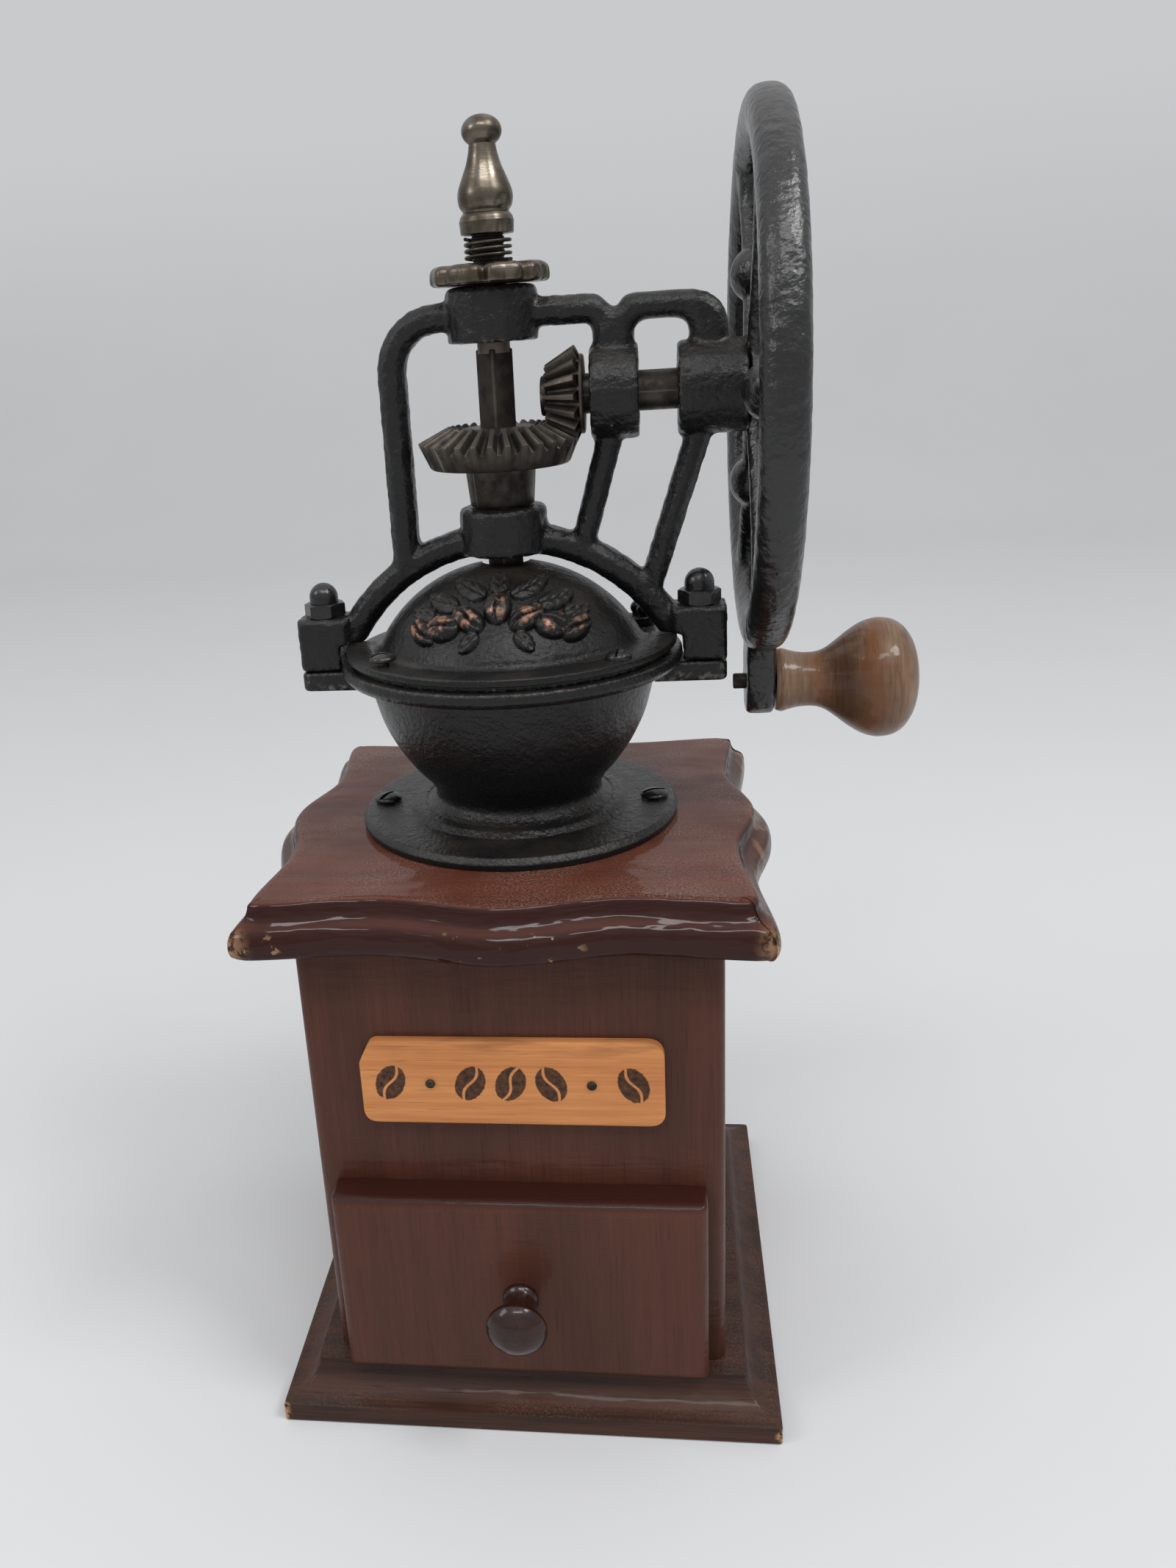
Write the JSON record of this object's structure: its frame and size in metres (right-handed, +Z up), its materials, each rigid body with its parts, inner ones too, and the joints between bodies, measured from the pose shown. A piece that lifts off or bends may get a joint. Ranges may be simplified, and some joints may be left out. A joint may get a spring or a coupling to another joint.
{
  "type": "flywheel coffee mill",
  "caption": "Wooden coffee mill with a drawer, an iron hopper with a domed cover, bevel gears in an iron yoke and a spoked hand wheel with a crank grip",
  "frame": {"origin": "centre of the base board's flat underside, where the mill stands on a table", "axes": "+Z up, along the grinding spindle; -Y the drawer front; +X towards the hand wheel"},
  "size_m": [0.1796, 0.1534, 0.3416],
  "materials": {
    "case_wood": "dark reddish-brown varnish, worn at the edges",
    "board_wood": "reddish-brown varnish, worn and dusty on top",
    "base_wood": "dark brown stain, dull",
    "plaque_wood": "bare tan wood with burnt dots",
    "drawer_wood": "bare pale wood",
    "knob_wood": "glossy dark brown varnish",
    "grip_wood": "worn light brown varnish with darker rings",
    "black_iron": "satin black cast iron, dusty",
    "wheel_iron": "semi-gloss black cast iron",
    "dark_bronze": "dark bronze-brown, oiled",
    "old_brass": "polished antique brass",
    "grey_steel": "dull grey steel"
  },
  "bodies": {
    "case": {"base_board": "base_wood", "case_front": "case_wood", "case_back": "case_wood", "case_left": "case_wood", "case_right": "case_wood", "top_board": "board_wood", "front_plaque": "plaque_wood", "plaque_nail_left": "dark_bronze", "plaque_nail_right": "dark_bronze", "hopper": "black_iron", "hopper_screw_left": "black_iron", "hopper_screw_right": "black_iron", "dome_screw_left": "black_iron", "dome_screw_right": "black_iron", "ear_stud_left": "grey_steel", "ear_stud_right": "grey_steel", "acorn_nut_left": "black_iron", "acorn_nut_right": "black_iron", "cover_ring": "black_iron", "front_dome": "black_iron", "outer_burr": "grey_steel", "yoke": "black_iron"},
    "drawer": {"drawer_front": "case_wood", "drawer_left": "drawer_wood", "drawer_right": "drawer_wood", "drawer_back": "drawer_wood", "drawer_bottom": "drawer_wood", "drawer_knob": "knob_wood", "knob_screw": "grey_steel"},
    "lid": {"rear_lid": "black_iron", "lid_rivet_near": "black_iron", "lid_rivet_far": "black_iron"},
    "wheel": {"wheel_shaft": "dark_bronze", "bevel_pinion": "dark_bronze", "flywheel": "wheel_iron", "wheel_washer": "grey_steel", "wheel_nut": "grey_steel", "handle_pin": "dark_bronze"},
    "grip": {"handle_grip": "grip_wood"},
    "gear": {"bevel_gear": "dark_bronze"},
    "spindle": {"spindle": "dark_bronze", "inner_burr": "grey_steel", "burr_washer": "grey_steel", "burr_nut": "grey_steel", "finial": "old_brass", "lock_spring": "grey_steel"},
    "adjuster": {"adjusting_nut": "old_brass"}
  },
  "joints": [
    {"name": "drawer_slide", "type": "slide", "parent": "case", "child": "drawer", "axis": [0, -1, 0], "range_m": [0, 0.085]},
    {"name": "lid_turn", "type": "hinge", "parent": "case", "child": "lid", "pos_m": [0, 0, 0.212], "axis": [0, 0, 1], "range_deg": [0, 140]},
    {"name": "wheel_spin", "type": "hinge", "parent": "case", "child": "wheel", "pos_m": [0.067, 0, 0.2744], "axis": [1, 0, 0], "continuous": true},
    {"name": "grip_spin", "type": "hinge", "parent": "wheel", "child": "grip", "pos_m": [0.09, 0, 0.1968], "axis": [1, 0, 0], "continuous": true},
    {"name": "gear_spin", "type": "hinge", "parent": "case", "child": "gear", "pos_m": [0, 0, 0.262], "axis": [0, 0, 1], "continuous": true},
    {"name": "nut_turn", "type": "hinge", "parent": "gear", "child": "adjuster", "pos_m": [0, 0, 0.3046], "axis": [0, 0, 1], "range_deg": [0, 361]},
    {"name": "spindle_lift", "type": "slide", "parent": "gear", "child": "spindle", "axis": [0, 0, 1], "range_m": [0, 0.00125], "deforming": ["lock_spring"]}
  ],
  "couplings": [
    {"joint": "gear_spin", "follows": "wheel_spin", "ratio": 0.53333},
    {"joint": "nut_turn", "follows": "spindle_lift", "rad_per_m": 5026.5}
  ]
}
